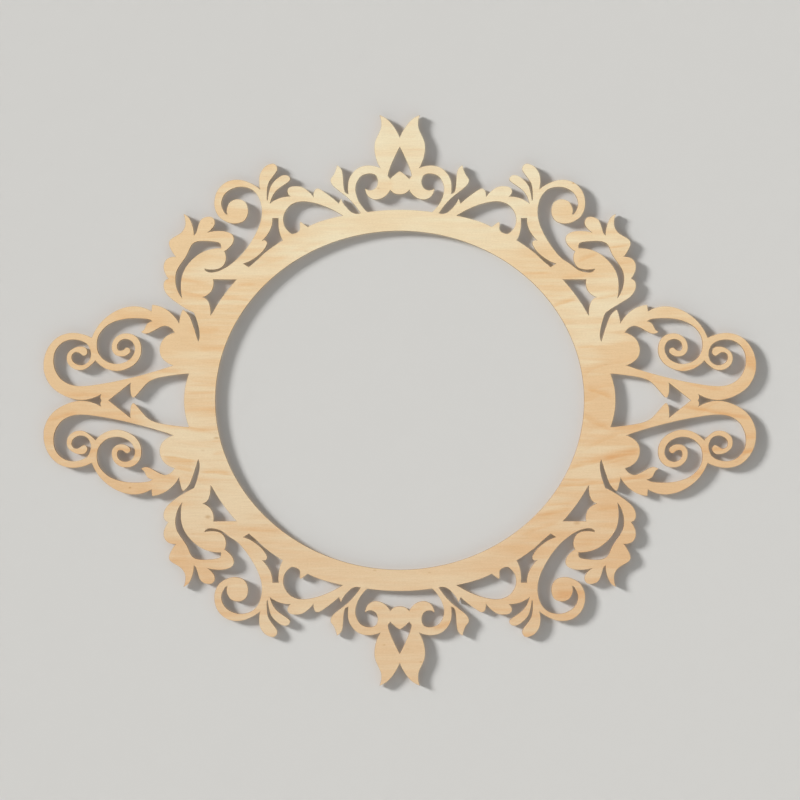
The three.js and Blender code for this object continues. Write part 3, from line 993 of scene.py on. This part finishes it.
@dataclass
class Ply:
    """One veneer of the sheet."""

    node: str
    piece: str
    slot: str
    grain: Grain
    front_arris: float
    back_arris: float
    face: BirchFace
    edge: CutEdge
    arris_steps: int = 2
    crease: float = math.radians(34)

    def profile(self) -> np.ndarray:
        """Works out the section of the cut edge, from the front face to the back.

        Each arris is a quarter circle: with the angle going from 0 to 90 degrees, the line lies
        in from the edge by radius times one less the sine, and below the face by radius times one
        less the cosine.

        Returns:
            Rows of how far in from the cut line, and how far back as Y, in metres.
        """
        low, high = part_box(self.node)
        angle = np.linspace(0, math.pi / 2, self.arris_steps + 1)
        inset = 1 - np.sin(angle)
        depth = 1 - np.cos(angle)
        front = np.c_[self.front_arris * inset, low.y + self.front_arris * depth]
        back = np.c_[self.back_arris * inset, high.y - self.back_arris * depth]
        return np.vstack((front, back[::-1]))

    def mesh(self, line: CutLine, face: FaceMesh) -> bpy.types.Mesh:
        """Carries the section of the edge along the cut line and fills both faces.

        Args:
            line: The smooth cut line.
            face: The triangles of a flat face of the sheet.

        Returns:
            A closed mesh with the faces in slot 0 and the cut edge in slot 1.
        """
        profile = self.profile()
        count = len(line.points)
        rings = len(profile)
        flat = line.points[None] + profile[:, 0, None, None] * line.inwards()[None]
        back = np.broadcast_to(profile[:, 1, None], (rings, count))
        points = np.stack((flat[..., 0], back, flat[..., 1]), axis=-1).reshape(-1, 3)

        ring = np.arange(rings - 1)[:, None] * count
        here = ring + np.arange(count)[None]
        there = ring + line.after[None]
        walls = np.stack((here, here + count, there + count, there), axis=-1).reshape(-1, 4)
        front = face.triangles
        rear = front[:, ::-1] + (rings - 1) * count

        corners = np.concatenate((walls.ravel(), front.ravel(), rear.ravel()))
        sides = np.r_[np.full(len(walls), 4), np.full(2 * len(front), 3)]
        mesh = bpy.data.meshes.new(self.piece)
        mesh.vertices.add(len(points))
        mesh.vertices.foreach_set("co", points.astype(np.float32).ravel())
        mesh.loops.add(len(corners))
        mesh.loops.foreach_set("vertex_index", corners.astype(np.int32))
        mesh.polygons.add(len(sides))
        mesh.polygons.foreach_set("loop_start", (np.cumsum(sides) - sides).astype(np.int32))
        mesh.polygons.foreach_set("material_index", (sides == 4).astype(np.int32))
        mesh.update(calc_edges=True)

        self._lay_run(mesh, line, corners, walls.size, points)
        self._mark_end_grain(mesh, line, rings)
        mesh.validate()
        mesh.set_sharp_from_angle(angle=self.crease)
        mesh.polygons.foreach_set("use_smooth", sides == 4)
        return mesh

    def _lay_run(self, mesh: bpy.types.Mesh, line: CutLine, corners: np.ndarray, walls: int,
                 points: np.ndarray) -> None:
        """Lays a UV map in metres: on the edge along the cut and back, on a face along X and Z.

        Args:
            mesh: The ply's mesh.
            line: The smooth cut line.
            corners: The vertex of each face corner, with the walls first.
            walls: How many corners belong to the walls.
            points: Every vertex's place.
        """
        count = len(line.points)
        start = line.run()
        step = np.linalg.norm(line.points[line.after] - line.points, axis=1)
        quad = corners[:walls].reshape(-1, 4)
        along = np.empty(quad.shape)
        along[:, :2] = start[quad[:, :1] % count]
        along[:, 2:] = (start + step)[quad[:, :1] % count]
        layer = mesh.uv_layers.new(name="cut_run")
        run = np.c_[points[corners, 0], points[corners, 2]]
        run[:walls] = np.c_[along.ravel(), points[corners[:walls], 1]]
        layer.data.foreach_set("uv", run.astype(np.float32).ravel())

    def _mark_end_grain(self, mesh: bpy.types.Mesh, line: CutLine, rings: int) -> None:
        """Marks how far the cut runs across the fibres: 1 straight across, 0 along them.

        Args:
            mesh: The ply's mesh.
            line: The smooth cut line.
            rings: How many rows of vertices the edge has.
        """
        inwards = line.inwards()
        unit = inwards / np.linalg.norm(inwards, axis=1, keepdims=True)
        along_fibres = np.abs(unit[:, self.grain.value])
        layer = mesh.attributes.new("end_grain", "FLOAT", "POINT")
        layer.data.foreach_set("value", np.tile(along_fibres, rings).astype(np.float32))

    def build(self, line: CutLine) -> bpy.types.Object:
        """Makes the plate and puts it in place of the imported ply.

        Args:
            line: The smooth cut line.

        Returns:
            The plate.
        """
        points = line.points + self.front_arris * line.inwards()
        plate = new_object(self.piece, self.mesh(line, FaceMesh.inside(line, points)))
        plate.data.materials.append(self.face.material())
        plate.data.materials.append(self.edge.material())
        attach(plate, "root")
        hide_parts(self.node)
        return plate


@dataclass
class Sheet:
    """The glued-up sheet: two face veneers with their grain along X, and a core across them."""

    rule: CornerRule = CornerRule()
    spacing: float = 0.8 * MM
    arris: float = 0.08 * MM
    glue_line: float = 0.04 * MM
    plies: list[Ply] = field(default_factory=list)

    def __post_init__(self) -> None:
        """Lists the plies from the front to the back."""
        toasted = CutEdge("toasted veneer edge", colour(176, 130, 88), colour(112, 74, 46))
        charred = CutEdge("toasted core edge", colour(140, 98, 64), colour(84, 54, 34))
        front = BirchFace("birch front face", (0.0, 0.0, 0.0), FRONT_STREAKS, FRONT_KNOTS)
        back = BirchFace("birch back face", (0.83, 0.4, 0.37), ring_strength=0.9)
        inner = BirchFace("birch core face", (0.31, 1.1, 0.77))
        self.plies = [
            Ply("front_face_veneer", "front_plate", "birch_veneer", Grain.LENGTHWISE,
                self.arris, self.glue_line, front, toasted),
            Ply("cross_grain_core", "core_plate", "birch_core", Grain.UPRIGHT,
                self.glue_line, self.glue_line, inner, charred),
            Ply("back_face_veneer", "back_plate", "birch_veneer", Grain.LENGTHWISE,
                self.glue_line, self.arris, back, toasted),
        ]

    def build(self, frame: dict) -> list[bpy.types.Object]:
        """Makes every ply.

        Args:
            frame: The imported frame.

        Returns:
            The plates, from the front to the back.
        """
        line = CutLine.from_node(frame["nodes"]["front_face_veneer"])
        smooth = line.smoothed(self.rule, self.spacing)
        smooth.points = np.clip(smooth.points, line.points.min(axis=0), line.points.max(axis=0))
        log.info("cut line: %d facets, %d steps", len(line.points), len(smooth.points))
        plates = []
        for ply in self.plies:
            plate = ply.build(smooth)
            log.info("%s: %d faces", plate.name, len(plate.data.polygons))
            plates.append(plate)
        return plates


@dataclass
class Stage:
    """A pale floor, and a pale wall just behind the frame that hangs on it."""

    tone: Rgba = colour(204, 203, 200)
    gap: float = 1.2 * MM
    floor_z: float = -0.75
    half_width: float = 5.0
    wall_top: float = 4.0
    depth: float = 7.0

    def material(self) -> bpy.types.Material:
        """Makes a matt finish that shows from the front only, and leaves the frame's back free.

        Returns:
            The material.
        """
        material, nodes = new_material("pale backdrop")
        matt = nodes.add("BsdfDiffuse", Color=self.tone).outputs[0]
        clear = nodes.add("BsdfTransparent").outputs[0]
        behind = nodes.add("NewGeometry").outputs["Backfacing"]
        both = nodes.add("MixShader", Fac=behind)
        nodes.put(both.inputs[1], matt)
        nodes.put(both.inputs[2], clear)
        nodes.add("OutputMaterial", Surface=both.outputs[0])
        return material

    def surface(self, name: str, profile: np.ndarray,
                material: bpy.types.Material) -> bpy.types.Object:
        """Carries a line of Y and Z straight across, from one side of the stage to the other.

        Args:
            name: The object's name.
            profile: Rows of Y and Z, in metres, with the shown side on the left.
            material: Its finish.

        Returns:
            The surface.
        """
        count = len(profile)
        x = np.repeat([-self.half_width, self.half_width], count)
        points = np.c_[x, np.tile(profile, (2, 1))]
        row = np.arange(count - 1)
        faces = np.stack((row, row + count, row + count + 1, row + 1), axis=-1)
        mesh = bpy.data.meshes.new(name)
        mesh.from_pydata(points.tolist(), [], faces.tolist())
        mesh.materials.append(material)
        made = new_object(name, mesh)
        made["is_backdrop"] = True
        return made

    def build(self) -> None:
        """Makes the floor, and the wall, which lets light through to the frame's back."""
        finish = self.material()
        low = self.floor_z
        self.surface("floor", np.array([[-self.depth, low], [self.depth, low]]), finish)
        wall = self.surface("wall", np.array([[self.gap, low], [self.gap, self.wall_top]]), finish)
        wall.visible_diffuse = False
        wall.visible_glossy = False
        wall.visible_shadow = False


@dataclass
class Studio:
    """The lamps, the world and the camera."""

    middle: Vector
    view_width: float = 0.5124
    aim: Triple = (0.16 * MM, 0.0, 0.24 * MM)
    lens: float = 240.0
    sensor: float = 36.0
    world_strength: float = 0.245
    backdrop_strength: float = 0.6
    key_from: Triple = (-1.73, -1.0, 0.75)
    key_strength: float = 3.8
    rear_from: Triple = (-1.2, 2.0, 1.0)
    rear_strength: float = 2.2
    sun_width: float = math.radians(13)
    front_from: Triple = (0.5, -3.0, 1.2)
    front_size: float = 1.6
    front_energy: float = 10.0

    def hang(self, name: str, light: bpy.types.Light, place: Triple) -> bpy.types.Object:
        """Hangs a light and turns it towards the middle of the frame.

        Args:
            name: Its name.
            light: The light.
            place: Where it is, from the middle of the frame.

        Returns:
            The light's object.
        """
        made = new_object(name, light)
        made.location = self.middle + Vector(place)
        made.rotation_euler = Vector(place).to_track_quat("Z", "Y").to_euler()
        return made

    def sun(self, name: str, place: Triple, strength: float) -> None:
        """Lights the whole frame evenly from one side, with soft shadows.

        Args:
            name: The lamp's name.
            place: The direction from the frame to the light.
            strength: Its strength in watts per square metre.
        """
        light = bpy.data.lights.new(name, "SUN")
        light.energy = strength
        light.angle = self.sun_width
        self.hang(name, light, place)

    def lamp(self) -> None:
        """Hangs a square soft light in front, which isn't seen itself."""
        light = bpy.data.lights.new("front light", "AREA")
        light.size = self.front_size
        light.energy = self.front_energy
        self.hang("front light", light, self.front_from).visible_camera = False

    def world(self) -> None:
        """Lights everything evenly, and shows as a pale background."""
        world = bpy.data.worlds.new("pale room")
        bpy.context.scene.world = world
        world.use_nodes = True
        world.node_tree.nodes.clear()
        nodes = Nodes(world.node_tree)
        path = nodes.add("LightPath").outputs["Is Camera Ray"]
        more = self.backdrop_strength - self.world_strength
        strength = nodes.math("MULTIPLY_ADD", path, more, self.world_strength)
        sky = nodes.add("Background", Color=(1.0, 1.0, 1.0, 1.0), Strength=strength)
        nodes.add("OutputWorld", Surface=sky.outputs[0])

    def camera(self) -> None:
        """Looks straight at the frame from the front, through a long lens."""
        lens = bpy.data.cameras.new("camera")
        lens.lens = self.lens
        lens.sensor_width = self.sensor
        distance = self.view_width * self.lens / self.sensor
        made = new_object("camera", lens)
        made.location = self.middle + Vector(self.aim) + Vector((0, -distance, 0))
        made.rotation_euler = (math.pi / 2, 0, 0)
        bpy.context.scene.camera = made

    def build(self) -> None:
        """Makes the lamps, the world and the camera."""
        self.sun("key light", self.key_from, self.key_strength)
        self.sun("rear light", self.rear_from, self.rear_strength)
        self.lamp()
        self.world()
        self.camera()
        bpy.context.scene.view_settings.view_transform = "Standard"


def corners(box: tuple[Vector, Vector]) -> list[list[float]]:
    """Turns a box's two corners into plain lists of numbers."""
    return [list(corner) for corner in box]


def main() -> None:
    """Loads the frame, dresses it and sets the stage."""
    logging.basicConfig(level=logging.INFO, format="%(name)s: %(message)s")
    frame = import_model()
    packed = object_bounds()
    plates = Sheet().build(frame)
    log.info("made %s", ", ".join(plate.name for plate in plates))
    Stage().build()
    middle = (packed[0] + packed[1]) / 2
    Studio(middle).build()


if __name__ == "__main__":
    main()
